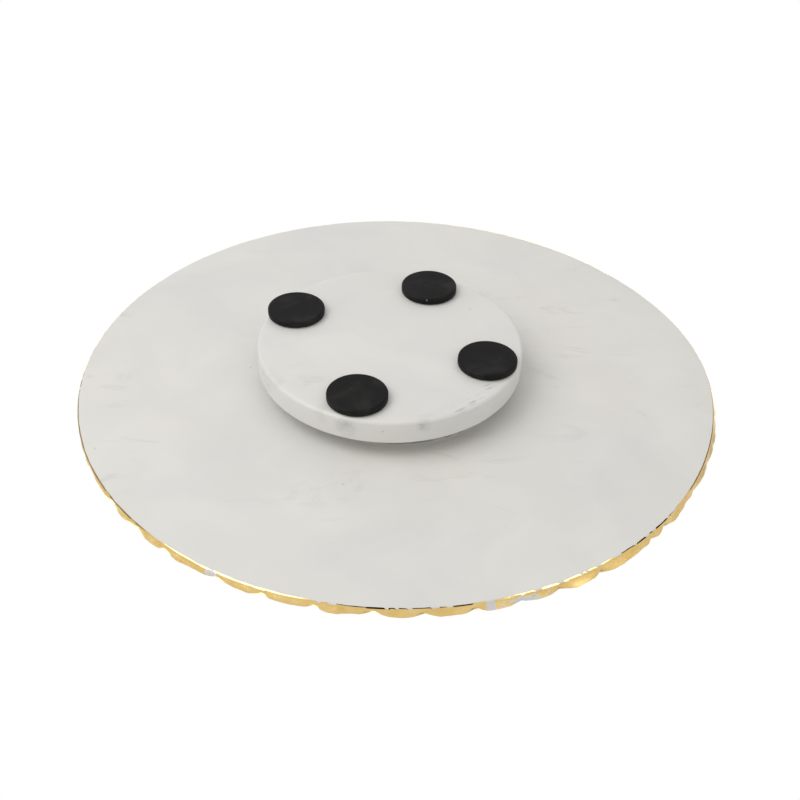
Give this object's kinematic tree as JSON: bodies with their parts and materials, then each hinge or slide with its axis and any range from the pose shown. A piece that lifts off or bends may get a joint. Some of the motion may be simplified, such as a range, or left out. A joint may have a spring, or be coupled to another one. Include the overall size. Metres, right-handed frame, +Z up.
{
  "type": "lazy susan turntable",
  "caption": "Round marble turntable with a chipped, gilded edge, turning on a ball bearing over a smaller marble base disc with rubber feet.",
  "frame": {"origin": "on the surface that the feet stand on, under the axis of rotation", "axes": "+Z up along the axis of rotation, from the feet to the platter's top face; +X and +Y lie in the plane of the platter"},
  "size_m": [0.305, 0.305, 0.0347],
  "materials": {
    "marble": "honed white marble, fine grey mottling",
    "base_marble": "honed white marble with a few fine grey veins",
    "gilt": "polished gold leaf over the chipped marble edge",
    "rubber": "matt black moulded rubber",
    "adhesive": "matt foam adhesive",
    "zinc_steel": "bright zinc-plated steel",
    "ball_steel": "polished steel",
    "nylon": "natural moulded nylon"
  },
  "bodies": {
    "base": {"base_disc": "base_marble", "foot_1": "rubber", "foot_2": "rubber", "foot_3": "rubber", "foot_4": "rubber", "foot_adhesive_1": "adhesive", "foot_adhesive_2": "adhesive", "foot_adhesive_3": "adhesive", "foot_adhesive_4": "adhesive", "lower_race_plate": "zinc_steel", "centre_rivet": "zinc_steel", "base_screw_1": "zinc_steel", "base_screw_2": "zinc_steel", "base_screw_3": "zinc_steel", "base_screw_4": "zinc_steel", "clinch_nut_1": "zinc_steel", "clinch_nut_2": "zinc_steel", "clinch_nut_3": "zinc_steel", "clinch_nut_4": "zinc_steel"},
    "platter": {"platter": "marble", "upper_race_plate": "zinc_steel", "platter_screw_1": "zinc_steel", "platter_screw_2": "zinc_steel", "platter_screw_3": "zinc_steel", "platter_screw_4": "zinc_steel", "platter_plug_1": "nylon", "platter_plug_2": "nylon", "platter_plug_3": "nylon", "platter_plug_4": "nylon"},
    "ball_cage": {"ball_cage": "nylon", "bearing_ball_1": "ball_steel", "bearing_ball_2": "ball_steel", "bearing_ball_3": "ball_steel", "bearing_ball_4": "ball_steel", "bearing_ball_5": "ball_steel", "bearing_ball_6": "ball_steel", "bearing_ball_7": "ball_steel", "bearing_ball_8": "ball_steel", "bearing_ball_9": "ball_steel", "bearing_ball_10": "ball_steel", "bearing_ball_11": "ball_steel", "bearing_ball_12": "ball_steel", "bearing_ball_13": "ball_steel", "bearing_ball_14": "ball_steel", "bearing_ball_15": "ball_steel", "bearing_ball_16": "ball_steel"}
  },
  "joints": [
    {"name": "platter_spin", "type": "hinge", "parent": "base", "child": "platter", "pos_m": [0, 0, 0.0195], "axis": [0, 0, 1], "continuous": true},
    {"name": "cage_spin", "type": "hinge", "parent": "base", "child": "ball_cage", "pos_m": [0, 0, 0.0195], "axis": [0, 0, 1], "continuous": true}
  ],
  "couplings": [
    {"joint": "cage_spin", "follows": "platter_spin", "ratio": 0.5}
  ]
}
